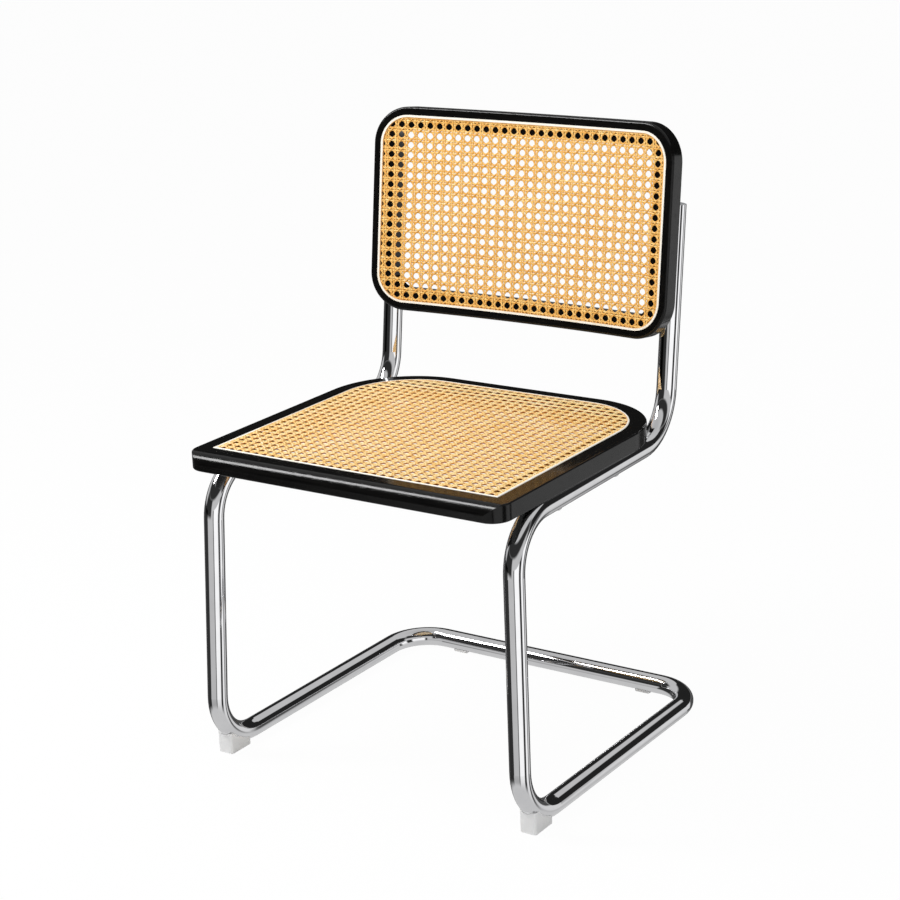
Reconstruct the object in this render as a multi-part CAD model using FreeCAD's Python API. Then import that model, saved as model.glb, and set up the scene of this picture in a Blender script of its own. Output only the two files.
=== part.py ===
import FreeCAD, Part
import math
import os

V = FreeCAD.Vector

# Tube frame
tube_d = 25.0
tube_wall = 2.0
base_width = 450.0
base_length = 434.0
tube_floor_gap = 1.5
seat_rail_height = 377.0
seat_rail_front_width = 430.0
upright_width = 415.0
leg_lean = 18.0
upright_y = 381.0
upright_angle = 7.7
upright_overlap = 166.0
foot_bend_r = 65.0
seat_bend_r = 65.0
rear_bend_r = 68.0
corner_bend_r = 55.0

# Tube plugs
plug_head = 3.0
plug_dome = 2.0
plug_length = 15.0
plug_clearance = 0.1

# Glides
tube_clearance = 0.1
glide_width = 22.0
front_glide_start = 12.5
front_glide_length = 38.0
front_glide_height = 28.0
rear_glide_length = 22.0
rear_glide_depth = 15.0
rear_glide_height = 6.0
rear_glide_inset = 81.0
glide_corner_r = 3.0
glide_foot_r = 1.0
peg_d = 6.0
peg_reach = 3.0
peg_inset = 10.0
peg_clearance = 0.1

# Seat frame
seat_overhang = 22.0
seat_front_side_reach = 10.0
seat_rear_side_reach = 17.0
seat_length = 413.0
seat_thickness = 22.0
seat_groove = 2.0
seat_front_corner_r = 24.0
seat_rear_corner_r = 112.0
bullnose_r = 14.0
seat_edge_r = 2.0
seat_side_margin = 21.5
seat_front_margin = 29.5
seat_rear_margin = 18.5
seat_ledge = 15.0

# Back frame
back_above_rail = 120.0
back_side_reach = 12.5
back_height = 264.0
back_thickness = 25.0
back_groove = 3.0
back_curve_r = 1200.0
back_corner_r = 48.0
back_edge_r = 3.0
back_margin = 10.5
back_ledge = 15.0

# Spline and cane
spline_width = 3.2
spline_depth = 6.0
spline_proud = 0.8
spline_edge_r = 1.2
cane_thickness = 1.5
seat_hole_pitch = 22.0
seat_hole_d = 16.0
back_hole_pitch = 18.5
back_hole_d = 13.5
cane_border = 3.0

# Dowel joints
dowel_d = 8.0
dowel_length = 40.0
front_joint_margin = 0.5
rear_joint_margin = 1.0
back_joint_margin = 4.0
seat_dowel_outer = 9.5
seat_dowel_inner = 28.0
seat_dowel_depth = 13.0
back_dowel_outer = 8.0
back_dowel_inner = 21.5
back_dowel_depth = 13.5

# Screws
screw_d = 4.8
screw_hole_clearance = 0.2
screw_head_d = 9.0
screw_head_height = 3.2
screw_grip = 12.0
cross_width = 1.2
cross_length = 5.0
cross_depth = 1.6
seat_screw_front_margin = 72.0
seat_screw_rear_margin = 4.0
back_screw_margin = 11.0
back_screw_pitch = 60.0

tube_r = tube_d / 2
bore_r = tube_r - tube_wall
rail_z = tube_floor_gap + tube_r
foot_y = -(base_length + tube_r - seat_overhang) / 2
bar_y = foot_y + base_length
front_glide_end = front_glide_start + front_glide_length
lean = math.radians(upright_angle)
upright_length = back_above_rail + upright_overlap
seat_front_y = foot_y - seat_overhang
seat_rear_y = seat_front_y + seat_length
seat_bottom = seat_rail_height + tube_r - seat_groove
seat_top = seat_bottom + seat_thickness
front_joint_y = seat_front_y + seat_front_margin + spline_width + seat_ledge + front_joint_margin
rear_joint_y = seat_rear_y - seat_rear_corner_r - rear_joint_margin
seat_screw_ys = (front_joint_y + dowel_length / 2 + seat_screw_front_margin,
                 rear_joint_y - dowel_length / 2 - seat_screw_rear_margin)
back_width = upright_width + 2 * back_side_reach
low_joint = back_corner_r + back_joint_margin
high_joint = back_height - low_joint
screw_length = tube_d + screw_grip
BIG = 2 * (base_width + base_length + seat_rail_height)


def export(name, shape):
    """Write one named node, after testing that its solids are sound."""
    assert shape.isValid(), name
    assert len(shape.Solids) > 0, name
    shape.exportStep("parts/" + name + ".step")
    print(name, len(shape.Solids), "solids", round(shape.Volume, 1), "mm3")


def rounded(points, radii, closed):
    """Straight runs joined by tangent arcs: returns the runs, the bends and the wire."""
    count = len(points)
    starts = [p for p in points]
    ends = [p for p in points]
    bends = [None] * count
    for i in range(count):
        if (not closed and i in (0, count - 1)) or radii[i] <= 0:
            continue
        before = (points[i] - points[i - 1]).normalize()
        after = (points[(i + 1) % count] - points[i]).normalize()
        turn = before.getAngle(after)
        cut = radii[i] * math.tan(turn / 2)
        ends[i] = points[i] - before * cut
        starts[i] = points[i] + after * cut
        inward = (after - before).normalize()
        centre = points[i] + inward * (radii[i] / math.cos(turn / 2))
        bends[i] = (ends[i], centre - inward * radii[i], starts[i], centre, before, after, turn)
    runs = []
    edges = []
    for i in range(count if closed else count - 1):
        j = (i + 1) % count
        runs.append((starts[i], ends[j]))
        edges.append(Part.LineSegment(starts[i], ends[j]).toShape())
        if bends[j]:
            edges.append(Part.Arc(bends[j][0], bends[j][1], bends[j][2]).toShape())
    return runs, [b for b in bends if b], Part.Wire(edges)


def bar_solid(path, radius):
    """Round bar along a path: a cylinder for each run and a swept circle for each bend."""
    runs, bends, wire = path
    pieces = []
    for start, end in runs:
        along = end - start
        pieces.append(Part.makeCylinder(radius, along.Length, start, along))
    for start, middle, end, centre, before, after, turn in bends:
        disc = Part.Face(Part.Wire(Part.makeCircle(radius, start, before)))
        pieces.append(disc.revolve(centre, before.cross(after), math.degrees(turn)))
    return pieces[0].multiFuse(pieces[1:]).removeSplitter()


def prism(wires, base, along):
    """Solid made by moving a flat face, with holes where more wires are given."""
    face = Part.makeFace(wires, "Part::FaceMakerBullseye")
    face.translate(base)
    return face.extrude(along)


def frame_path():
    """Centre line of the whole bent tube, from one upright's end to the other's."""
    reach = V(0, math.sin(lean), math.cos(lean)) * upright_length
    rear = V(upright_width / 2, foot_y + upright_y, seat_rail_height)
    front = V(seat_rail_front_width / 2, foot_y + leg_lean, seat_rail_height)
    foot = V(base_width / 2, foot_y, rail_z)
    corner = V(base_width / 2, bar_y, rail_z)
    right = [rear + reach, rear, front, foot, corner]
    left = [V(-p.x, p.y, p.z) for p in reversed(right)]
    side_radii = [0, rear_bend_r, seat_bend_r, foot_bend_r, corner_bend_r]
    return rounded(right + left, side_radii + side_radii[::-1], False)


PATH = frame_path()
RUNS, BENDS, LINE = PATH
TUBE_SPACE = bar_solid(PATH, tube_r + tube_clearance)


def back_placement():
    """Frame of the leaning back: X across, Y out of its rear face, Z up its slope from its lower edge."""
    up = V(0, math.sin(lean), math.cos(lean))
    rearward = V(0, math.cos(lean), -math.sin(lean))
    base = V(0, foot_y + upright_y, seat_rail_height) + up * back_above_rail
    base = base - rearward * (tube_r - back_groove)
    return FreeCAD.Placement(base, FreeCAD.Rotation(V(1, 0, 0), -upright_angle))


BACK = back_placement()


def to_back(shape):
    """Move a shape from the back's own frame to its place on the chair."""
    moved = shape.copy()
    moved.Placement = BACK.multiply(moved.Placement)
    return moved


def seat_rail_share(y):
    """How far a place along Y is from the seat rails' front end to their rear end, 0 to 1."""
    return (y - foot_y - leg_lean) / (upright_y - leg_lean)


def seat_rail_x(y):
    """Half spacing of the two seat rail tubes at a place along Y."""
    return (seat_rail_front_width + (upright_width - seat_rail_front_width) * seat_rail_share(y)) / 2


def seat_half_width(y):
    """Half width of the seat frame's outline at a place along Y."""
    reach = seat_front_side_reach + (seat_rear_side_reach - seat_front_side_reach) * seat_rail_share(y)
    return seat_rail_x(y) + reach


def seat_outline(side, front, rear, front_r, rear_r):
    """Outline of the seat, drawn in from its outer edges."""
    y0 = seat_front_y + front
    y1 = seat_rear_y - rear
    x0 = seat_half_width(y0) - side
    x1 = seat_half_width(y1) - side
    points = [V(-x0, y0, 0), V(x0, y0, 0), V(x1, y1, 0), V(-x1, y1, 0)]
    return rounded(points, [front_r, front_r, rear_r, rear_r], True)[2]


def seat_ring_outline(inward, front_r):
    """Outline at a distance inside the outer edge of the seat's spline."""
    rear_r = seat_rear_corner_r - seat_rear_margin - inward
    return seat_outline(seat_side_margin + inward, seat_front_margin + inward, seat_rear_margin + inward,
                        front_r, rear_r)


def back_outline(inward):
    """Rounded rectangle of the back, drawn in from its outer edge, in the XZ plane."""
    x = back_width / 2 - inward
    z0 = inward
    z1 = back_height - inward
    points = [V(-x, 0, z0), V(x, 0, z0), V(x, 0, z1), V(-x, 0, z1)]
    return rounded(points, [back_corner_r - inward] * 4, True)[2]


def curved_slab(behind, front):
    """Slice of the curved back between two depths, both measured forwards from its rear face."""
    centre_y = -math.sqrt(back_curve_r ** 2 - (upright_width / 2) ** 2)
    half = back_width / 2 + cane_border

    def point(depth, x):
        return V(x, centre_y + math.sqrt((back_curve_r - depth) ** 2 - x * x), 0)

    rear_arc = Part.Arc(point(behind, -half), point(behind, 0), point(behind, half)).toShape()
    front_arc = Part.Arc(point(front, half), point(front, 0), point(front, -half)).toShape()
    right = Part.LineSegment(point(behind, half), point(front, half)).toShape()
    left = Part.LineSegment(point(front, -half), point(behind, -half)).toShape()
    outline = Part.Wire([rear_arc, right, front_arc, left])
    return prism([outline], V(0, 0, -cane_border), V(0, 0, back_height + 2 * cane_border))


def back_layer(wires, behind, front):
    """Part of a curved slice that lies inside the given outlines."""
    return prism(wires, V(0, -BIG / 2, 0), V(0, BIG, 0)).common(curved_slab(behind, front))


def seat_screw_frames():
    """Where each seat screw's head bears under its tube: X along the tube, Z out of it."""
    frames = []
    for side, run in ((1, RUNS[1]), (-1, RUNS[-2])):
        along = (run[1] - run[0]).normalize()
        for y in seat_screw_ys:
            point = V(side * seat_rail_x(y), y, seat_rail_height - tube_r)
            turn = FreeCAD.Rotation(along, V(0, 0, 0), V(0, 0, -1), "ZXY")
            frames.append(FreeCAD.Placement(point, turn))
    return frames


def back_screw_frames():
    """Where each back screw's head bears behind its upright: X along the tube, Z out of it."""
    frames = []
    for side, run in ((1, RUNS[0]), (-1, RUNS[-1])):
        along = (run[1] - run[0]).normalize()
        rearward = V(0, math.cos(lean), -math.sin(lean))
        for i in range(2):
            drop = plug_length + back_screw_margin + i * back_screw_pitch
            point = BACK.multVec(V(side * upright_width / 2, tube_d - back_groove, upright_overlap - drop))
            turn = FreeCAD.Rotation(along, V(0, 0, 0), rearward, "ZXY")
            frames.append(FreeCAD.Placement(point, turn))
    return frames


def placed(shape, frame):
    """Copy of a shape moved into a frame."""
    moved = shape.copy()
    moved.Placement = frame
    return moved


def make_screw(frame):
    """Screw with a cross recess, its head saddled on the tube and its shank through it into the wood."""
    head_r = screw_head_d / 2
    saddle = tube_r - math.sqrt(tube_r ** 2 - head_r ** 2)
    dome_r = (head_r ** 2 + screw_head_height ** 2) / (2 * screw_head_height)
    ball = Part.makeSphere(dome_r, V(0, 0, screw_head_height - dome_r))
    head = Part.makeCylinder(head_r, screw_head_height).common(ball)
    head = head.fuse(Part.makeCylinder(head_r, saddle, V(0, 0, -saddle)))
    corner = V(-cross_length / 2, -cross_width / 2, screw_head_height - cross_depth)
    slot = Part.makeBox(cross_length, cross_width, cross_depth, corner)
    other = slot.copy()
    other.rotate(V(0, 0, 0), V(0, 0, 1), 90)
    head = head.cut(slot.fuse(other))
    tube = Part.makeCylinder(tube_r, BIG, V(-BIG / 2, 0, -tube_r), V(1, 0, 0))
    shank = Part.makeCylinder(screw_d / 2, screw_length, V(0, 0, -screw_length))
    return placed(head.cut(tube).fuse(shank), frame)


def screw_holes(frames):
    """Holes of the screws through the tube."""
    radius = (screw_d + screw_hole_clearance) / 2
    hole = Part.makeCylinder(radius, tube_d + 2 * tube_wall, V(0, 0, -tube_d - tube_wall))
    holes = [placed(hole, frame) for frame in frames]
    return holes[0].multiFuse(holes[1:])


def screw_shanks(frames):
    """Space of the screws' shanks, which the wood grips."""
    shank = Part.makeCylinder(screw_d / 2, screw_length, V(0, 0, -screw_length))
    shanks = [placed(shank, frame) for frame in frames]
    return shanks[0].multiFuse(shanks[1:])


def front_peg(side, radius):
    """Vertical peg of a front glide, up into the foot bend."""
    y = front_glide_end - peg_inset
    if y < foot_bend_r:
        bore_z = rail_z + foot_bend_r - math.sqrt((foot_bend_r + bore_r) ** 2 - (foot_bend_r - y) ** 2)
    else:
        bore_z = rail_z - bore_r
    return Part.makeCylinder(radius, bore_z + peg_reach, V(side * base_width / 2, foot_y + y, 0))


def rear_peg(side, radius):
    """Vertical peg of a rear glide, up into the rear floor bar."""
    x = base_width / 2 - rear_glide_inset
    return Part.makeCylinder(radius, rail_z - bore_r + peg_reach, V(side * x, bar_y, 0))


def make_tube():
    """The bent tube, bored through, with its screw and peg holes."""
    tube = bar_solid(PATH, tube_r).cut(bar_solid(PATH, bore_r))
    section = math.pi * (tube_r ** 2 - bore_r ** 2)
    print("tube length", round(LINE.Length, 1), "mm")
    print("section times length", round(section * LINE.Length, 1), "volume", round(tube.Volume, 1))
    tube = tube.cut(screw_holes(seat_screw_frames())).cut(screw_holes(back_screw_frames()))
    for side in (-1, 1):
        tube = tube.cut(front_peg(side, peg_d / 2 + peg_clearance))
        tube = tube.cut(rear_peg(side, peg_d / 2 + peg_clearance))
    return tube


def make_plug(side):
    """Plastic plug with a low domed head, in an upright's open top end."""
    dome_r = (tube_r ** 2 + plug_dome ** 2) / (2 * plug_dome)
    ball = Part.makeSphere(dome_r, V(0, 0, plug_head - dome_r))
    head = Part.makeCylinder(tube_r, plug_head).common(ball)
    spigot = Part.makeCylinder(bore_r - plug_clearance, plug_length, V(0, 0, -plug_length))
    end = RUNS[0][0] if side > 0 else RUNS[-1][1]
    frame = FreeCAD.Placement(end, FreeCAD.Rotation(V(1, 0, 0), -upright_angle))
    return placed(head.fuse(spigot).removeSplitter(), frame)


def glide_block(length, depth, height, x, y):
    """Block with rounded corners that stands on the floor, seen from above around a point."""
    points = [V(-length / 2, -depth / 2, 0), V(length / 2, -depth / 2, 0),
              V(length / 2, depth / 2, 0), V(-length / 2, depth / 2, 0)]
    outline = rounded(points, [glide_corner_r] * 4, True)[2]
    block = prism([outline], V(x, y, 0), V(0, 0, height))
    rims = [e for e in block.Edges if e.BoundBox.ZMax < glide_foot_r]
    return block.makeFillet(glide_foot_r, rims)


def make_front_glide(side):
    """Clear block that fills the corner under a foot bend, with its peg."""
    x = side * base_width / 2
    middle = foot_y + front_glide_start + front_glide_length / 2
    block = glide_block(glide_width, front_glide_length, front_glide_height, x, middle)
    centre = BENDS[2][3]
    inner = Part.makeCylinder(foot_bend_r, BIG, V(-BIG / 2, centre.y, centre.z), V(1, 0, 0))
    block = block.cut(inner).cut(TUBE_SPACE)
    body = max(block.Solids, key=lambda solid: solid.Volume)
    return body.fuse(front_peg(side, peg_d / 2)).removeSplitter()


def make_rear_glide(side):
    """Clear pad under the rear floor bar, with its peg."""
    x = side * (base_width / 2 - rear_glide_inset)
    block = glide_block(rear_glide_length, rear_glide_depth, rear_glide_height, x, bar_y)
    block = block.cut(TUBE_SPACE)
    return block.fuse(rear_peg(side, peg_d / 2)).removeSplitter()


def seat_blank():
    """The seat frame as a full board with its rounded edges."""
    outer = seat_outline(0, 0, 0, seat_front_corner_r, seat_rear_corner_r)
    blank = prism([outer], V(0, 0, seat_bottom), V(0, 0, seat_thickness))
    rims = [e for e in blank.Edges if e.BoundBox.ZLength < seat_edge_r]
    blank = blank.makeFillet(seat_edge_r, rims)
    y0 = seat_front_y
    y1 = seat_rear_y + seat_edge_r
    profile = [V(0, y0, seat_bottom), V(0, y1, seat_bottom), V(0, y1, seat_top), V(0, y0, seat_top)]
    nose = rounded(profile, [seat_edge_r, 0, 0, bullnose_r], True)[2]
    return blank.common(prism([nose], V(-BIG / 2, 0, 0), V(BIG, 0, 0)))


def seat_frame():
    """The whole seat frame before it is divided into its four rails."""
    opening = seat_ring_outline(spline_width + seat_ledge, seat_edge_r)
    outer = seat_ring_outline(0, 0)
    inner = seat_ring_outline(spline_width, 0)
    frame = seat_blank().cut(prism([opening], V(0, 0, 0), V(0, 0, BIG)))
    frame = frame.cut(prism([outer], V(0, 0, seat_top - cane_thickness), V(0, 0, BIG)))
    frame = frame.cut(prism([outer, inner], V(0, 0, seat_top - spline_depth), V(0, 0, BIG)))
    return frame.cut(TUBE_SPACE).cut(screw_shanks(seat_screw_frames()))


def seat_dowel_solids():
    """Dowels along the seat, two at each of its four corner joints."""
    pins = []
    for side in (-1, 1):
        for joint in (front_joint_y, rear_joint_y):
            for inset in (seat_dowel_outer, seat_dowel_inner):
                x = side * (seat_half_width(joint) - inset)
                start = V(x, joint - dowel_length / 2, seat_top - seat_dowel_depth)
                pins.append(Part.makeCylinder(dowel_d / 2, dowel_length, start, V(0, 1, 0)))
    return pins


def make_seat_rails():
    """Divide the seat frame at its joints and bore it for the dowels."""
    frame = seat_frame()
    for pin in seat_dowel_solids():
        frame = frame.cut(pin)
    depth = rear_joint_y - front_joint_y
    front_box = Part.makeBox(BIG, BIG, BIG, V(-BIG / 2, front_joint_y - BIG, 0))
    rear_box = Part.makeBox(BIG, BIG, BIG, V(-BIG / 2, rear_joint_y, 0))
    right_box = Part.makeBox(BIG, depth, BIG, V(0, front_joint_y, 0))
    left_box = Part.makeBox(BIG, depth, BIG, V(-BIG, front_joint_y, 0))
    return {"seat_front_rail": frame.common(front_box), "seat_rear_rail": frame.common(rear_box),
            "seat_left_rail": frame.common(left_box), "seat_right_rail": frame.common(right_box)}


def make_seat_splines():
    """Reed strip in the seat's groove: a front strip, mitred into one long strip round the rest."""
    outer = seat_ring_outline(0, 0)
    inner = seat_ring_outline(spline_width, 0)
    height = spline_depth + spline_proud
    ring = prism([outer, inner], V(0, 0, seat_top - spline_depth), V(0, 0, height))
    y = seat_front_y + seat_front_margin
    x = seat_half_width(y) - seat_side_margin
    reach = 2 * spline_width
    points = [V(-x - reach, y - reach, 0), V(x + reach, y - reach, 0),
              V(x - reach, y + reach, 0), V(-x + reach, y + reach, 0)]
    wedge = prism([Part.makePolygon(points + points[:1])], V(0, 0, 0), V(0, 0, BIG))
    strips = {"seat_front_spline": ring.common(wedge), "seat_side_spline": ring.cut(wedge)}
    for name, strip in strips.items():
        rims = [e for e in strip.Edges if e.BoundBox.ZMin > seat_top and e.Length > 2 * spline_width]
        strips[name] = strip.makeFillet(spline_edge_r, rims)
    return strips


def hole_grid(area, pitch, first, second, low, high):
    """Centres of the webbing's holes that lie inside a face, on a square grid about its middle."""
    centres = []
    counts = [int((b - a) / pitch) for a, b in zip(low, high)]
    for i in range(counts[0]):
        for j in range(counts[1]):
            across = (low[0] + high[0]) / 2 + (i - (counts[0] - 1) / 2) * pitch
            along = (low[1] + high[1]) / 2 + (j - (counts[1] - 1) / 2) * pitch
            centre = first * across + second * along
            if area.isInside(centre, cane_thickness / 100, True):
                centres.append(centre)
    return centres


def make_seat_cane():
    """Cane webbing of the seat: one flat sheet with its holes, on the ledge."""
    outline = seat_ring_outline(spline_width, 0)
    hole_r = seat_hole_d / 2
    area = Part.Face(seat_ring_outline(spline_width + hole_r + cane_border, 0))
    box = Part.Face(outline).BoundBox
    centres = hole_grid(area, seat_hole_pitch, V(1, 0, 0), V(0, 1, 0),
                        (box.XMin, box.YMin), (box.XMax, box.YMax))
    holes = [Part.Wire(Part.makeCircle(hole_r, c, V(0, 0, 1))) for c in centres]
    print("seat cane holes", len(holes))
    return prism([outline] + holes, V(0, 0, seat_top - cane_thickness), V(0, 0, cane_thickness))


def make_back_cane():
    """Cane webbing of the back: one sheet with its holes, curved with the frame."""
    outline = back_outline(back_margin + spline_width)
    hole_r = back_hole_d / 2
    area = Part.Face(back_outline(back_margin + spline_width + hole_r + cane_border))
    box = Part.Face(outline).BoundBox
    centres = hole_grid(area, back_hole_pitch, V(1, 0, 0), V(0, 0, 1),
                        (box.XMin, box.ZMin), (box.XMax, box.ZMax))
    holes = [Part.Wire(Part.makeCircle(hole_r, c, V(0, 1, 0))) for c in centres]
    print("back cane holes", len(holes))
    return to_back(back_layer([outline] + holes, back_thickness - cane_thickness, back_thickness))


def back_frame():
    """The whole back frame, in its own frame, before it is divided into its four rails."""
    blank = back_layer([back_outline(0)], 0, back_thickness)
    rims = [e for e in blank.Edges if e.BoundBox.YLength < back_thickness / 2 or e.Length > 2 * back_thickness]
    blank = blank.makeFillet(back_edge_r, rims)
    opening = back_outline(back_margin + spline_width + back_ledge)
    outer = back_outline(back_margin)
    inner = back_outline(back_margin + spline_width)
    frame = blank.cut(prism([opening], V(0, -BIG / 2, 0), V(0, BIG, 0)))
    frame = frame.cut(back_layer([outer], back_thickness - cane_thickness, back_thickness + cane_border))
    groove = back_layer([outer, inner], back_thickness - spline_depth, back_thickness + cane_border)
    return frame.cut(groove)


def back_dowel_solids():
    """Dowels up the back, two at each of its four corner joints, in the back's own frame."""
    pins = []
    for side in (-1, 1):
        for joint in (low_joint, high_joint):
            for inset in (back_dowel_outer, back_dowel_inner):
                x = side * (back_width / 2 - inset)
                start = V(x, back_dowel_depth - back_thickness, joint - dowel_length / 2)
                pins.append(Part.makeCylinder(dowel_d / 2, dowel_length, start, V(0, 0, 1)))
    return pins


def make_back_rails():
    """Divide the back frame at its joints, bore it for the dowels and seat it on the uprights."""
    frame = back_frame()
    for pin in back_dowel_solids():
        frame = frame.cut(pin)
    height = high_joint - low_joint
    low_box = Part.makeBox(BIG, BIG, BIG, V(-BIG / 2, -BIG / 2, low_joint - BIG))
    high_box = Part.makeBox(BIG, BIG, BIG, V(-BIG / 2, -BIG / 2, high_joint))
    right_box = Part.makeBox(BIG, BIG, height, V(0, -BIG / 2, low_joint))
    left_box = Part.makeBox(BIG, BIG, height, V(-BIG, -BIG / 2, low_joint))
    boxes = {"back_bottom_rail": low_box, "back_top_rail": high_box,
             "back_left_stile": left_box, "back_right_stile": right_box}
    shanks = screw_shanks(back_screw_frames())
    return {name: to_back(frame.common(box)).cut(TUBE_SPACE).cut(shanks) for name, box in boxes.items()}


def make_back_spline():
    """Reed strip in the back's groove, all round."""
    outer = back_outline(back_margin)
    inner = back_outline(back_margin + spline_width)
    return to_back(back_layer([outer, inner], back_thickness - spline_depth, back_thickness + spline_proud))


def build():
    """Make every node of the chair."""
    os.makedirs("parts", exist_ok=True)
    nodes = {"tube_frame": make_tube()}
    for side, word in ((-1, "left"), (1, "right")):
        nodes[word + "_tube_plug"] = make_plug(side)
        nodes["front_" + word + "_glide"] = make_front_glide(side)
        nodes["rear_" + word + "_glide"] = make_rear_glide(side)
    nodes.update(make_seat_rails())
    nodes.update(make_seat_splines())
    nodes["seat_cane"] = make_seat_cane()
    nodes["seat_dowels"] = Part.makeCompound(seat_dowel_solids())
    nodes["seat_screws"] = Part.makeCompound([make_screw(frame) for frame in seat_screw_frames()])
    nodes.update(make_back_rails())
    nodes["back_spline"] = make_back_spline()
    nodes["back_cane"] = make_back_cane()
    nodes["back_dowels"] = Part.makeCompound([to_back(pin) for pin in back_dowel_solids()])
    nodes["back_screws"] = Part.makeCompound([make_screw(frame) for frame in back_screw_frames()])
    for name, shape in nodes.items():
        export(name, shape)


build()
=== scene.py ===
import math

import bpy
import numpy as np
from mathutils import Matrix, Vector


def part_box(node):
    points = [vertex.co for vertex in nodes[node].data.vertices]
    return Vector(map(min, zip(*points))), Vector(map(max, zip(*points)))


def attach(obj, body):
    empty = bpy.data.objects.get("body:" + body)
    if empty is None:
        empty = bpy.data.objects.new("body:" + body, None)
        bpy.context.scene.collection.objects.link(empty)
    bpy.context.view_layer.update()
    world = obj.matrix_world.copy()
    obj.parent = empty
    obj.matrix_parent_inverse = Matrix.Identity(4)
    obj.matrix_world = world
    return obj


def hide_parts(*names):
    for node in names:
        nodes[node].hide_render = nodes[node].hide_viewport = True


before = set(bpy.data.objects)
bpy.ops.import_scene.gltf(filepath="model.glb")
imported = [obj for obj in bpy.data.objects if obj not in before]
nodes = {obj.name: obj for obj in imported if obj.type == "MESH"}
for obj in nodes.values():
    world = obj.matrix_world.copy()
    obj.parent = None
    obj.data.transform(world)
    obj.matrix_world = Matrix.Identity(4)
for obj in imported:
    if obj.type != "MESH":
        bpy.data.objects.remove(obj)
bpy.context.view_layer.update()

MM = 0.001
WHITE = (1.0, 1.0, 1.0, 1.0)

# Camera

CAMERA_PLACE = Vector((1.49435, -2.16697, 1.20979))
CAMERA_YAW = 0.603323
CAMERA_PITCH = 0.306434
CAMERA_ROLL = -0.042927
CAMERA_LENS = 89.8055
CAMERA_SENSOR = 36.0
CAMERA_NEAR, CAMERA_FAR = 0.05, 100.0


def make_camera():
    """The photograph's viewpoint, direction, roll and focal length."""
    yaw, pitch, roll = CAMERA_YAW, CAMERA_PITCH, CAMERA_ROLL
    forward = Vector((-math.sin(yaw) * math.cos(pitch),
                      math.cos(yaw) * math.cos(pitch),
                      -math.sin(pitch)))
    level = Vector((math.cos(yaw), math.sin(yaw), 0.0))
    upright = level.cross(forward)
    right = level * math.cos(roll) + upright * math.sin(roll)
    up = upright * math.cos(roll) - level * math.sin(roll)
    turn = Matrix((right, up, -forward)).transposed().to_4x4()
    data = bpy.data.cameras.new("camera")
    data.lens = CAMERA_LENS
    data.sensor_width = CAMERA_SENSOR
    data.clip_start, data.clip_end = CAMERA_NEAR, CAMERA_FAR
    camera = bpy.data.objects.new("camera", data)
    camera.matrix_world = Matrix.Translation(CAMERA_PLACE) @ turn
    bpy.context.scene.collection.objects.link(camera)
    bpy.context.scene.camera = camera


# Shader building


class Tree:
    """Short calls for the nodes of one material or world."""

    def __init__(self, owner):
        owner.use_nodes = True
        self.tree = owner.node_tree
        self.tree.nodes.clear()

    def add(self, kind, **settings):
        """A new shader node with its settings."""
        node = self.tree.nodes.new("ShaderNode" + kind)
        for key, value in settings.items():
            setattr(node, key, value)
        return node

    def put(self, socket, value):
        """Join a socket to another one, or give it a plain value."""
        if isinstance(value, bpy.types.NodeSocket):
            self.tree.links.new(value, socket)
        else:
            socket.default_value = value

    def math(self, operation, *values):
        node = self.add("Math", operation=operation)
        for socket, value in zip(node.inputs, values):
            self.put(socket, value)
        return node.outputs[0]

    def times(self, first, second):
        return self.math("MULTIPLY", first, second)

    def plus(self, first, second):
        return self.math("ADD", first, second)

    def smooth(self, value, low, high, out_low=0.0, out_high=1.0):
        """A soft step: out_low below low, out_high above high."""
        node = self.add("MapRange", interpolation_type="SMOOTHSTEP")
        for socket, given in zip(node.inputs, (value, low, high, out_low, out_high)):
            self.put(socket, given)
        return node.outputs[0]

    def place(self, stretch=(1, 1, 1), turn=(0, 0, 0)):
        """Object coordinates in millimetres, turned and then stretched."""
        coords = self.add("TexCoord").outputs["Object"]
        turned = self.add("VectorRotate", rotation_type="EULER_XYZ")
        self.put(turned.inputs["Vector"], coords)
        self.put(turned.inputs["Rotation"], turn)
        scaled = self.add("VectorMath", operation="MULTIPLY")
        self.put(scaled.inputs[0], turned.outputs[0])
        self.put(scaled.inputs[1], tuple(factor / MM for factor in stretch))
        return scaled.outputs[0]

    def noise(self, vector, scale, detail, roughness):
        node = self.add("TexNoise")
        for name, value in (("Vector", vector), ("Scale", scale), ("Detail", detail),
                            ("Roughness", roughness)):
            self.put(node.inputs[name], value)
        return node.outputs["Fac"]

    def mixed(self, first, second, share):
        """The second value's share added to the rest of the first."""
        return self.plus(self.times(first, 1.0 - share), self.times(second, share))

    def ramp(self, factor, stops):
        """A colour ramp from pairs of place and colour."""
        node = self.add("ValToRGB")
        band = node.color_ramp
        while len(band.elements) < len(stops):
            band.elements.new(0.5)
        for element, (position, colour) in zip(band.elements, stops):
            element.position = position
            element.color = (*colour, 1.0)
        self.put(node.inputs[0], factor)
        return node.outputs[0]

    def blend(self, factor, first, second):
        """From one colour to a second, plain one."""
        node = self.add("Mix", data_type="RGBA")
        for index, value in ((0, factor), (6, first), (7, (*second, 1.0))):
            self.put(node.inputs[index], value)
        return node.outputs[2]

    def bump(self, height, distance, strength, below=None):
        node = self.add("Bump")
        self.put(node.inputs["Height"], height)
        self.put(node.inputs["Distance"], distance)
        self.put(node.inputs["Strength"], strength)
        if below is not None:
            self.put(node.inputs["Normal"], below)
        return node.outputs[0]

    def direct(self):
        """1 for what the camera sees, straight or through something clear, and 0 for the rest."""
        path = self.add("LightPath").outputs
        return self.math("MAXIMUM", path["Is Camera Ray"], path["Is Transmission Ray"])

    def surface(self, **values):
        """The principled shader, joined to the output."""
        shader = self.add("BsdfPrincipled")
        for name, value in values.items():
            self.put(shader.inputs[name.replace("_", " ")], value)
        self.tree.links.new(shader.outputs[0], self.add("OutputMaterial").inputs[0])


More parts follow.
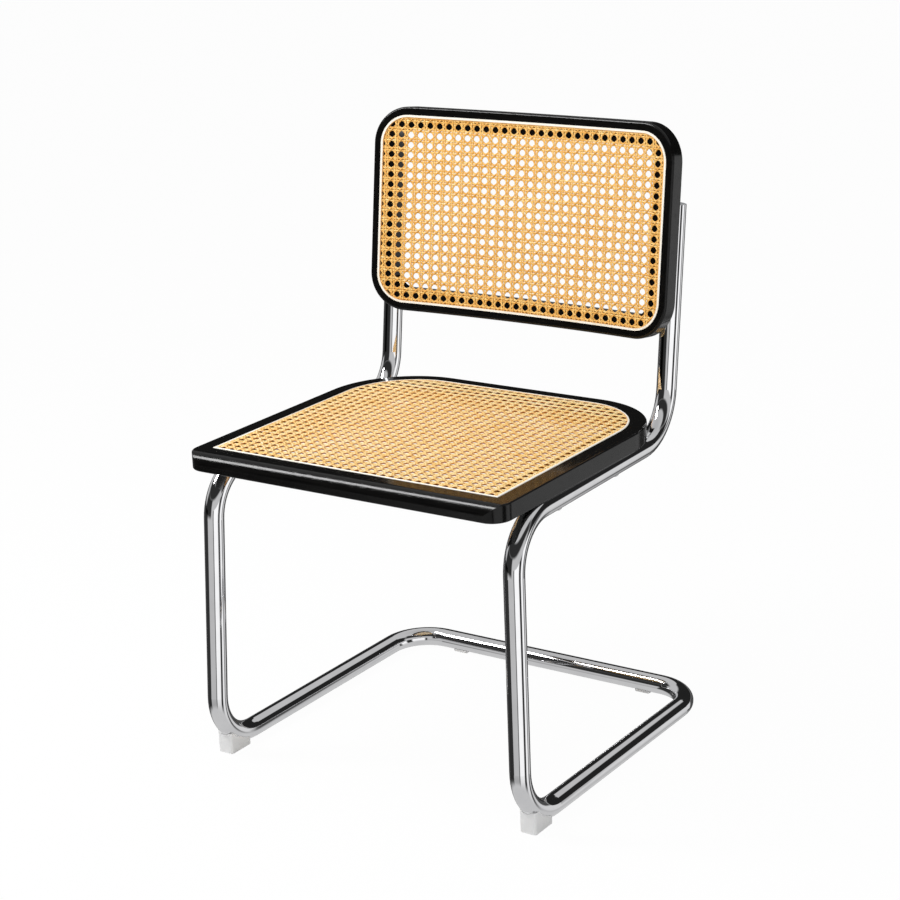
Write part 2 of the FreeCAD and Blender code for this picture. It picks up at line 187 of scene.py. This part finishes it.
def material(name):
    """A new material and the tree of its nodes."""
    made = bpy.data.materials.new(name)
    return made, Tree(made)


# Materials

# Edges of the amber painted shade along the reed's inner foot, in mm inside the reed's ring
GROOVE_SHADE_INNER, GROOVE_SHADE_OUTER = 1.35, 0.75


def make_chrome(name, rough):
    """Bright plating with faint handling marks and a slight waviness."""
    made, tree = material(name)
    marks = tree.noise(tree.place(), 0.035, 4.0, 0.6)
    fine = tree.noise(tree.place(), 0.9, 2.0, 0.5)
    colour = tree.ramp(marks, [(0.3, (0.79, 0.79, 0.805)), (0.7, (0.86, 0.86, 0.87))])
    gloss = tree.smooth(tree.mixed(marks, fine, 0.3), 0.35, 0.7, rough * 0.6, rough * 1.8)
    wave = tree.bump(tree.noise(tree.place(), 0.02, 1.0, 0.4), 0.0004, 0.35)
    tree.surface(Base_Color=colour, Metallic=1.0, Roughness=gloss, Normal=wave)
    return made


def make_lacquer(name, along):
    """Black lacquer over close-grained wood whose pores run along one axis."""
    made, tree = material(name)
    stretch = tuple(0.04 if axis == along else 1.0 for axis in "XYZ")
    grain = tree.noise(tree.place(stretch), 0.55, 4.0, 0.6)
    pores = tree.smooth(tree.noise(tree.place(stretch), 2.2, 2.0, 0.5), 0.56, 0.72)
    cloud = tree.noise(tree.place(), 0.03, 3.0, 0.5)
    colour = tree.ramp(grain, [(0.3, (0.0022, 0.0022, 0.0023)),
                               (0.75, (0.0062, 0.0058, 0.0054))])
    gloss = tree.smooth(tree.mixed(grain, cloud, 0.5), 0.35, 0.68, 0.09, 0.18)
    peel = tree.bump(tree.noise(tree.place(), 0.35, 2.0, 0.5), 0.00006, 0.5)
    normal = tree.bump(pores, 0.00003, 0.6, peel)
    tree.surface(Base_Color=colour, Roughness=gloss, IOR=1.33, Normal=normal,
                 Coat_Weight=0.1, Coat_Roughness=0.08, Coat_IOR=1.35)
    return made


def make_cane(name, turn, crown, warm):
    """Peeled cane: pale on its crown and deep orange on its flanks, partly the cut flanks' own
    colour and partly painted shade in the holes, with fibres and flecks.
    """
    made, tree = material(name)
    turned = (0, 0, turn)
    fibre = tree.noise(tree.place((0.05, 2.4, 2.4), turned), 1.0, 3.0, 0.6)
    strand = tree.noise(tree.place((0.012, 0.42, 0.42), turned), 1.0, 1.0, 0.5)
    fleck = tree.smooth(tree.noise(tree.place((0.35, 1.1, 1.1), turned), 1.0, 2.0, 0.6), 0.64, 0.74)
    # warm also carries the sheet's painted shade, which turns the back's strands darker orange.
    tone = tree.math("SUBTRACT", tree.mixed(fibre, strand, 0.55), warm)
    colour = tree.ramp(tone, [(0.3, (0.8, 0.4, 0.08)), (0.42, (0.95, 0.62, 0.2)),
                              (0.53, (1.0, 0.8, 0.4)), (0.66, (1.0, 0.94, 0.72))])
    facing = tree.add("VectorMath", operation="DOT_PRODUCT")
    tree.put(facing.inputs[0], tree.add("NewGeometry").outputs["True Normal"])
    tree.put(facing.inputs[1], crown)
    # Flanks that face away from the crown turn deep orange: partly the cut flanks' own colour,
    # partly painted shade of the holes' walls.
    cut_flank_and_shade = tree.smooth(tree.math("ABSOLUTE", facing.outputs["Value"]), 0.4, 0.97, 1.0, 0.0)
    colour = tree.blend(cut_flank_and_shade, colour, (0.48, 0.12, 0.005))
    colour = tree.blend(tree.times(fleck, 0.55), colour, (0.4, 0.13, 0.02))
    tree.surface(Base_Color=colour, Roughness=tree.smooth(fibre, 0.3, 0.7, 0.26, 0.46), IOR=1.36,
                 Normal=tree.bump(fibre, 0.00012, 0.5), Coat_Weight=0.1, Coat_Roughness=0.2)
    return made


def make_reed(name, ring, turn=(0, 0, 0)):
    """Pale split reed: fibres that follow its rounded ring, and amber painted shade where its inner
    foot meets the groove.
    """
    made, tree = material(name)
    half_u, half_v, centre_v, radius, axis_v = ring
    coords = tree.add("SeparateXYZ")
    tree.put(coords.inputs[0], tree.place(turn=turn))
    place_u, place_v = coords.outputs[0], coords.outputs[axis_v]
    u = tree.math("ABSOLUTE", place_u)
    v = tree.math("ABSOLUTE", tree.math("SUBTRACT", place_v, centre_v))
    past_u = tree.math("SUBTRACT", u, half_u - radius)
    past_v = tree.math("SUBTRACT", v, half_v - radius)
    out_u, out_v = tree.math("MAXIMUM", past_u, 0.0), tree.math("MAXIMUM", past_v, 0.0)
    outside = tree.math("SQRT", tree.plus(tree.times(out_u, out_u), tree.times(out_v, out_v)))
    inside = tree.math("MINIMUM", tree.math("MAXIMUM", past_u, past_v), 0.0)
    across = tree.plus(outside, inside)
    joined = tree.add("CombineXYZ")
    tree.put(joined.inputs[0], tree.times(across, 2.2))
    tree.put(joined.inputs[1], tree.times(tree.plus(place_u, place_v), 0.03))
    fibre = tree.noise(joined.outputs[0], 1.0, 3.0, 0.6)
    cloud = tree.noise(tree.place(), 0.05, 2.0, 0.5)
    tone = tree.mixed(fibre, cloud, 0.4)
    colour = tree.ramp(tone, [(0.3, (0.88, 0.78, 0.6)), (0.5, (0.97, 0.93, 0.84)),
                              (0.7, (1.0, 0.98, 0.94))])
    # Painted shade: an amber band along the reed's inner foot, standing in for its shaded inner
    # flank and the groove.
    groove_shade = tree.smooth(across, radius - GROOVE_SHADE_INNER, radius - GROOVE_SHADE_OUTER, 0.85, 0.0)
    colour = tree.blend(groove_shade, colour, (0.72, 0.36, 0.07))
    tree.surface(Base_Color=colour, Roughness=tree.smooth(fibre, 0.3, 0.7, 0.35, 0.55),
                 Normal=tree.bump(fibre, 0.0001, 0.5))
    return made


def make_timber(name):
    """Bare hardwood of the hidden dowels."""
    made, tree = material(name)
    grain = tree.noise(tree.place((1, 0.05, 0.3)), 0.9, 4.0, 0.6)
    colour = tree.ramp(grain, [(0.3, (0.5, 0.33, 0.18)), (0.7, (0.7, 0.52, 0.32))])
    tree.surface(Base_Color=colour, Roughness=tree.smooth(grain, 0.3, 0.7, 0.5, 0.7),
                 Normal=tree.bump(grain, 0.0001, 0.5))
    return made


def make_clear(name):
    """Clear plastic, a little cloudy and rubbed at its foot."""
    made, tree = material(name)
    cloud = tree.noise(tree.place(), 0.12, 3.0, 0.5)
    height = tree.add("SeparateXYZ")
    tree.put(height.inputs[0], tree.place())
    rub = tree.smooth(height.outputs[2], 0.0, 5.0, 0.3, 0.0)
    gloss = tree.plus(tree.smooth(cloud, 0.3, 0.7, 0.3, 0.36), rub)
    colour = tree.ramp(cloud, [(0.3, (0.975, 0.98, 0.98)), (0.7, (0.995, 0.995, 0.995))])
    tree.surface(Base_Color=colour, Roughness=gloss, Transmission_Weight=0.12, IOR=1.49,
                 Normal=tree.bump(cloud, 0.00004, 0.1))
    return made


def make_plastic(name):
    """Satin moulded plastic of the tube plugs."""
    made, tree = material(name)
    grain = tree.noise(tree.place(), 1.6, 2.0, 0.5)
    cloud = tree.noise(tree.place(), 0.1, 2.0, 0.5)
    colour = tree.ramp(cloud, [(0.3, (0.6, 0.61, 0.63)), (0.7, (0.72, 0.73, 0.75))])
    tree.surface(Base_Color=colour, Roughness=tree.smooth(cloud, 0.3, 0.7, 0.32, 0.48),
                 Normal=tree.bump(grain, 0.00006, 0.5))
    return made


def dress(name, made):
    """Put a material on all of a CAD node's slots."""
    data = nodes[name].data
    if not data.materials:
        data.materials.append(made)
    for index in range(len(data.materials)):
        data.materials[index] = made


# Woven cane, in mm

PAIR_HALF = 1.45            # from a pair's middle to each of its strands
PAIR_REACH = 1.1            # how far a pair's rise spreads along it
PAIR_RISE = 0.52            # share of the thickness that a pair rises or sinks
PAIR_FLAT = 2.9             # from a hole's middle, how far a pair's strand lies flat
STRAND_WIDTH = 2.25
DIAGONAL_WIDTH = 1.8
DIAGONAL_STEP = 1.75
STRAND_THICK = 0.72
STRAND_CROWN = ((-0.5, 0.1), (-0.3, 0.42), (0.0, 0.52), (0.3, 0.42), (0.5, 0.1))
STRAND_FOOT = 0.42          # share of the width at the strand's lower corners
CLIP_STEP = 0.25
CLIP_LEAST = 8              # a stretch of no more steps than this is left out
END_GAP = 0.4               # least distance from a strand's end to its next station
TUCK = 0.6                  # how far the strands run in under the reed's inner edge


def pair_height(along, side, crossing, sign, pitch):
    """Rise of a pair's strand where it crosses the other pairs: over one strand, under the next."""
    phase = (along - crossing + pitch / 2) % pitch - pitch / 2
    near = np.exp(-((np.abs(phase) - PAIR_HALF) / PAIR_REACH) ** 2)
    return sign * side * np.sign(phase) * near * STRAND_THICK * PAIR_RISE


def diagonal_height(across, crossing, sign, pitch):
    """Rise of a diagonal, which goes over one set of pairs and under the other."""
    return sign * STRAND_THICK * np.cos(2 * np.pi * (across - crossing) / pitch)


def clipped(inside, point, direction, reach):
    """Stretch of a line that lies inside an outline, as two distances from the point."""
    steps = np.arange(-reach, reach, CLIP_STEP)
    kept = steps[inside(point[0] + steps * direction[0], point[1] + steps * direction[1])]
    return (kept[0], kept[-1]) if len(kept) > CLIP_LEAST else None


def sweep(name, strands, to_space, made, cad_node, width, depth):
    """One mesh of crowned strands, each given by its points (u, v, rise) and side direction."""
    crown = [(across * width, rise * STRAND_THICK) for across, rise in STRAND_CROWN]
    foot = [(STRAND_FOOT * width, -depth), (-STRAND_FOOT * width, -depth)]
    profile = np.array(crown + foot)
    ring = len(profile)
    vertices, faces = [], []
    base = 0
    for points, side in strands:
        count = len(points)
        grid = np.repeat(points[:, None, :], ring, axis=1)
        grid[:, :, :2] += profile[None, :, :1] * np.array(side)[None, None, :]
        grid[:, :, 2] += profile[None, :, 1]
        vertices.append(to_space(grid.reshape(-1, 3)))
        start = base + np.arange(count - 1)[:, None] * ring
        here = np.arange(ring)[None, :]
        after = (here + 1) % ring
        quads = np.stack([start + here, start + after, start + ring + after, start + ring + here],
                         axis=2)
        faces.append(quads.reshape(-1, 4))
        base += count * ring
    vertices = np.concatenate(vertices) * MM
    faces = np.concatenate(faces)
    mesh = bpy.data.meshes.new(name)
    mesh.vertices.add(len(vertices))
    mesh.vertices.foreach_set("co", vertices.astype(np.float32).ravel())
    mesh.loops.add(len(faces) * 4)
    mesh.loops.foreach_set("vertex_index", faces.astype(np.int32).ravel())
    mesh.polygons.add(len(faces))
    mesh.polygons.foreach_set("loop_start", np.arange(0, len(faces) * 4, 4, dtype=np.int32))
    mesh.polygons.foreach_set("use_smooth", np.ones(len(faces), dtype=bool))
    mesh.update(calc_edges=True)
    mesh.validate()
    piece = bpy.data.objects.new(name, mesh)
    bpy.context.scene.collection.objects.link(piece)
    mesh.materials.append(made)
    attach(piece, "root")
    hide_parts(cad_node)


def weave(cad_node, materials, inside, to_space, reach, offset, pitch, stretch, depth):
    """Six-way cane webbing: upright pairs, level pairs and two diagonals round each hole.

    The cells are square, pitch mm a side, and are then stretched sideways. The offset is the
    middle of one hole, and depth is how far the strands' feet reach below their middle. A line
    is laid out for reach mm to either side of its start, and clipped to the sheet's outline.
    """
    u0, v0 = offset[0] / stretch, offset[1]
    middle = pitch / 2
    stations = np.array([0.0, PAIR_FLAT, middle - PAIR_HALF, middle, middle + PAIR_HALF,
                         pitch - PAIR_FLAT])
    slope = math.sqrt(0.5)

    def held(u, v):
        return inside(u * stretch, v)

    def stretched(points):
        return to_space(points * np.array([stretch, 1.0, 1.0]))

    def stepped(low, high, origin):
        """The places along a strand where its rise turns, with its two ends."""
        first, last = math.floor((low - origin) / pitch), math.ceil((high - origin) / pitch)
        cells = np.arange(first, last + 1)
        values = (cells[:, None] * pitch + origin + stations[None, :]).ravel()
        return np.concatenate([[low], values[(values > low + END_GAP) & (values < high - END_GAP)],
                               [high]])

    uprights, levels, rising, falling = [], [], [], []
    rows = int(reach / pitch) + 2
    for row in range(-rows, rows + 1):
        shift = (row + 0.5) * pitch
        for side in (-1, 1):
            u = u0 + shift + side * PAIR_HALF
            span = clipped(held, (u, 0.0), (0.0, 1.0), reach)
            if span:
                v = stepped(span[0], span[1], v0)
                rise = pair_height(v, side, v0 + middle, 1.0, pitch)
                uprights.append((np.stack([np.full_like(v, u), v, rise], axis=1), (1.0, 0.0)))
            v = v0 + shift + side * PAIR_HALF
            span = clipped(held, (0.0, v), (1.0, 0.0), reach)
            if span:
                u = stepped(span[0], span[1], u0)
                rise = pair_height(u, side, u0 + middle, -1.0, pitch)
                levels.append((np.stack([u, np.full_like(u, v), rise], axis=1), (0.0, -1.0)))
        for group, tilt in ((rising, 1.0), (falling, -1.0)):
            span = clipped(held, (u0 + shift, v0), (slope, slope * tilt), reach)
            if span:
                count = max(3, int((span[1] - span[0]) / DIAGONAL_STEP))
                along = np.linspace(span[0], span[1], count)
                u, v = u0 + shift + along * slope, v0 + along * slope * tilt
                rise = diagonal_height(u, u0 + middle, -tilt, pitch)
                group.append((np.stack([u, v, rise], axis=1), (slope * tilt, -slope)))
    for word, group, width in (("uprights", uprights, STRAND_WIDTH),
                               ("levels", levels, STRAND_WIDTH),
                               ("rising", rising, DIAGONAL_WIDTH),
                               ("falling", falling, DIAGONAL_WIDTH)):
        sweep(cad_node + "_" + word, group, stretched, materials[word], cad_node, width, depth)


SEAT_LOW, SEAT_HIGH = (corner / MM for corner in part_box("seat_cane"))
SEAT_CORNER = 90.3          # radius of the sheet's two rear corners
SEAT_TAPER = 0.5 / 363.0    # how fast the seat's sides draw in towards the rear
SEAT_SUNK = 0.2             # of the strands' middle, below the sheet's top
SEAT_BED_GAP = 0.02         # least height of a strand above the sheet's underside


def seat_half(v):
    """Half width of the webbing's bed at a place along the seat."""
    return SEAT_HIGH.x - (v - SEAT_LOW.y) * SEAT_TAPER


def in_seat(u, v):
    """Whether points lie on the seat's bed, or just under the inner edge of its reed."""
    corner_v = SEAT_HIGH.y - SEAT_CORNER
    corner_u = seat_half(corner_v) - SEAT_CORNER
    past = np.maximum(np.abs(u) - corner_u, 0) ** 2 + np.maximum(v - corner_v, 0) ** 2
    rounded = (v < corner_v) | (np.abs(u) < corner_u) | (past < (SEAT_CORNER + TUCK) ** 2)
    lengthwise = (v > SEAT_LOW.y - TUCK) & (v < SEAT_HIGH.y + TUCK)
    return (np.abs(u) < seat_half(v) + TUCK) & lengthwise & rounded


def seat_space(points):
    """From the seat's own surface to the row frame: no strand sinks below its bed."""
    u, v, rise = points.T
    height = np.maximum(SEAT_HIGH.z - SEAT_SUNK + rise, SEAT_LOW.z + SEAT_BED_GAP)
    return np.stack([u, v, height], axis=1)


# The back has its own frame: u across, v up its slope from its lower edge.
BACK_HALF_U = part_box("back_cane")[1].x / MM
BACK_LOW, BACK_HIGH, BACK_CORNER = 13.7, 250.3, 34.3
BACK_BASE_Y, BACK_BASE_Z = 175.414, 497.191
BACK_LEAN = math.radians(7.7)
BACK_CURVE = 1200.0         # radius of the back frame's rear face
BACK_CHORD = 207.5          # from the middle to each upright, where that face is at zero
BACK_DEPTH = 24.6           # of the strands' middle, forwards of that face


def in_back(u, v):
    """Whether points lie on the back's bed, or just under the inner edge of its reed."""
    middle = (BACK_LOW + BACK_HIGH) / 2
    past_u = np.abs(u) - (BACK_HALF_U - BACK_CORNER)
    past_v = np.abs(v - middle) - ((BACK_HIGH - BACK_LOW) / 2 - BACK_CORNER)
    outside = np.hypot(np.maximum(past_u, 0), np.maximum(past_v, 0))
    return outside + np.minimum(np.maximum(past_u, past_v), 0) < BACK_CORNER + TUCK


def back_space(points):
    """From the back's own surface to the row frame: it curves about a tall axis and leans back."""
    u, v, rise = points.T
    centre = -math.sqrt(BACK_CURVE ** 2 - BACK_CHORD ** 2)
    rearward = centre + np.sqrt((BACK_CURVE - BACK_DEPTH) ** 2 - u ** 2) - rise
    cosine, sine = math.cos(BACK_LEAN), math.sin(BACK_LEAN)
    y = BACK_BASE_Y + rearward * cosine + v * sine
    z = BACK_BASE_Z - rearward * sine + v * cosine
    return np.stack([u, y, z], axis=1)


# Stage and light

FLOOR_HALF = 30.0
FLOOR_LEVEL = -0.0002
FLOOR_GLOW = 0.97           # share of plain white that the camera sees, the rest takes shadow

# The studio as polished surfaces mirror it, in degrees of heading and height.
# Each flag darkens a stretch below the horizon: first heading, last heading, depth.
FLAGS = ((-190.0, -125.5, 0.97), (-66.0, -57.0, 0.97), (-125.5, -66.0, 0.5), (-9.0, 14.0, 0.97),
         (39.0, 50.0, 0.93), (50.0, 70.0, 0.35), (70.0, 190.0, 0.93))
FLAG_SOFT = 4.0
FLAG_FOOT = (-40.0, -28.0)
# Each panel darkens a stretch of the wall: headings and heights as (first, last, soft), depth.
PANEL_BEHIND = ((20.0, 146.0, 6.0), (1.5, 34.5, 1.5), 0.97)
PANEL_FRONT = ((-170.0, 20.0, 8.0), (19.0, 45.0, 4.0), 0.95)
PANEL_FACING = ((-158.0, -84.0, 5.0), (-7.0, 20.0, 2.5), 0.95)
# Light below and above the horizon: first and last height, and the level at each.
GROUND_LEVELS = (-42.0, -14.0, 0.62, 1.15)
UPPER_LEVELS = (50.0, 80.0, 0.58, 0.5)
HORIZON = (-0.5, 1.5)
ROOM_LEVEL = 0.37           # the even light on surfaces that aren't polished

# name, place, target, size, watts, whether polished surfaces mirror it
LAMPS = (("key_lamp", (-1.12, -0.72, 1.9), (0.0, -0.1, 0.4), (0.42, 1.2), 28.0, True),
         ("fill_lamp", (2.4, -2.2, 2.2), (0.0, 0.0, 0.4), (1.6, 1.6), 19.0, False),
         ("top_lamp", (0.1, -0.5, 2.5), (0.0, 0.0, 0.4), (1.2, 1.2), 13.0, False))


def make_floor():
    """Plain pale floor that takes the chair's soft shadow and can be seen through from below."""
    mesh = bpy.data.meshes.new("floor")
    corners = ((-1, -1), (1, -1), (1, 1), (-1, 1))
    mesh.from_pydata([(x * FLOOR_HALF, y * FLOOR_HALF, FLOOR_LEVEL) for x, y in corners], [],
                     [(0, 1, 2, 3)])
    floor = bpy.data.objects.new("floor", mesh)
    bpy.context.scene.collection.objects.link(floor)
    made, tree = material("floor")
    grain = tree.noise(tree.place(), 0.004, 2.0, 0.5)
    lit = tree.add("BsdfDiffuse")
    pale_grey = tree.ramp(grain, [(0.3, (0.86, 0.86, 0.86)), (0.7, (0.88, 0.88, 0.88))])
    tree.put(lit.inputs["Color"], pale_grey)
    glow = tree.add("Emission")
    tree.put(glow.inputs["Color"], WHITE)

    def between(factor, first, second):
        mix = tree.add("MixShader")
        for socket, value in zip(mix.inputs, (factor, first, second)):
            tree.put(socket, value)
        return mix.outputs[0]

    pale = between(tree.times(tree.direct(), FLOOR_GLOW), lit.outputs[0], glow.outputs[0])
    sided = between(tree.add("NewGeometry").outputs["Backfacing"], pale,
                    tree.add("BsdfTransparent").outputs[0])
    tree.put(tree.add("OutputMaterial").inputs[0], sided)
    mesh.materials.append(made)
    floor.visible_glossy = False


def make_world():
    """White to the camera, even grey to plain surfaces, a studio with flags to polished ones."""
    world = bpy.data.worlds.new("studio")
    bpy.context.scene.world = world
    tree = Tree(world)
    split = tree.add("SeparateXYZ")
    tree.put(split.inputs[0], tree.add("TexCoord").outputs["Generated"])
    x, y, z = split.outputs
    height = tree.math("DEGREES", tree.math("ARCSINE", z))
    heading = tree.math("DEGREES", tree.math("ARCTAN2", y, x))

    def band(value, low, high, soft):
        """1 between low and high, 0 outside, with soft edges."""
        rising = tree.smooth(value, low - soft, low + soft)
        falling = tree.smooth(value, high - soft, high + soft, 1.0, 0.0)
        return tree.times(rising, falling)

    def dimmed(level, mask, depth):
        return tree.times(level, tree.math("SUBTRACT", 1.0, tree.times(mask, depth)))

    def shaded(level, panel):
        headings, heights, depth = panel
        return dimmed(level, tree.times(band(heading, *headings), band(height, *heights)), depth)

    def between(factor, first, second):
        rest = tree.math("SUBTRACT", 1.0, factor)
        return tree.plus(tree.times(first, rest), tree.times(second, factor))

    ground = tree.smooth(height, *GROUND_LEVELS)
    for low, high, depth in FLAGS:
        flag = tree.times(band(heading, low, high, FLAG_SOFT), tree.smooth(height, *FLAG_FOOT))
        ground = dimmed(ground, flag, depth)
    ground = shaded(ground, PANEL_FACING)
    upper = tree.smooth(height, *UPPER_LEVELS)
    for panel in (PANEL_BEHIND, PANEL_FRONT, PANEL_FACING):
        upper = shaded(upper, panel)
    studio = between(tree.smooth(height, *HORIZON), ground, upper)
    glossy = tree.add("LightPath").outputs["Is Glossy Ray"]
    level = between(tree.direct(), between(glossy, ROOM_LEVEL, studio), 1.0)
    shade = tree.add("Background")
    tree.put(shade.inputs["Color"], WHITE)
    tree.put(shade.inputs["Strength"], level)
    tree.put(tree.add("OutputWorld").inputs[0], shade.outputs[0])


def make_lamp(name, place, target, size, power, glossy):
    """Rectangular softbox aimed at a point."""
    data = bpy.data.lights.new(name, "AREA")
    data.shape = "RECTANGLE"
    data.size, data.size_y = size
    data.energy = power
    lamp = bpy.data.objects.new(name, data)
    aim = (Vector(target) - Vector(place)).to_track_quat("-Z", "Y")
    lamp.matrix_world = Matrix.Translation(Vector(place)) @ aim.to_matrix().to_4x4()
    lamp.visible_glossy = glossy
    lamp.visible_camera = False
    bpy.context.scene.collection.objects.link(lamp)


make_camera()
make_world()
make_floor()
for lamp in LAMPS:
    make_lamp(*lamp)

bpy.context.scene.view_settings.view_transform = "Standard"

# The chair

# half width, half length, middle, corner radius and second axis of each reed's ring, in mm
SEAT_RING = (201.9, 181.0, -22.3, 92.0, 1)
BACK_RING = (207.9, 119.9, 648.2, 35.9, 2)

LOOKS = (
    (make_chrome("tube_chrome", 0.035), ("tube_frame",)),
    (make_chrome("screw_chrome", 0.09), ("seat_screws", "back_screws")),
    (make_lacquer("lacquer_across", "X"),
     ("seat_front_rail", "seat_rear_rail", "back_top_rail", "back_bottom_rail")),
    (make_lacquer("lacquer_along", "Y"), ("seat_left_rail", "seat_right_rail")),
    (make_lacquer("lacquer_tall", "Z"), ("back_left_stile", "back_right_stile")),
    (make_reed("seat_reed", SEAT_RING), ("seat_front_spline", "seat_side_spline")),
    (make_reed("back_reed", BACK_RING, (BACK_LEAN, 0, 0)), ("back_spline",)),
    (make_timber("dowel_timber"), ("seat_dowels", "back_dowels")),
    (make_clear("clear_plastic"),
     ("front_left_glide", "front_right_glide", "rear_left_glide", "rear_right_glide")),
    (make_plastic("plug_plastic"), ("left_tube_plug", "right_tube_plug")),
)
for look, names in LOOKS:
    for name in names:
        dress(name, look)

QUARTER = math.pi / 4
SEAT_CROWN = (0.0, 0.0, 1.0)
BACK_CROWN = (0.0, -math.cos(BACK_LEAN), math.sin(BACK_LEAN))
# Painted shade of each sheet: the back's strands are darkened to offset the stronger lamp light on
# it.
SEAT_PAINTED_SHADE, BACK_PAINTED_SHADE = 0.0, 0.13


def cane_set(prefix, crown, painted_shade):
    """The four strand materials of one sheet; painted shade turns them from straw to a darker
    orange, more on the back, which the lamps light more strongly.
    """
    made = {}
    for word, turn, warm in (("uprights", 2 * QUARTER, 0.0), ("levels", 0.0, 0.0),
                             ("rising", -QUARTER, 0.07), ("falling", QUARTER, 0.03)):
        made[word] = make_cane(prefix + "_" + word, turn, crown, warm + painted_shade)
    return made


# With this reach the seat's diagonals end about 43 mm short of its rear edge.
weave("seat_cane", cane_set("seat_cane", SEAT_CROWN, SEAT_PAINTED_SHADE), in_seat, seat_space,
      reach=425.0, offset=(5.8, -186.9), pitch=11.8, stretch=1.048, depth=1.5)
weave("back_cane", cane_set("back_cane", BACK_CROWN, BACK_PAINTED_SHADE), in_back, back_space,
      reach=465.0, offset=(-5.4, 137.3), pitch=12.97, stretch=1.041, depth=0.4)
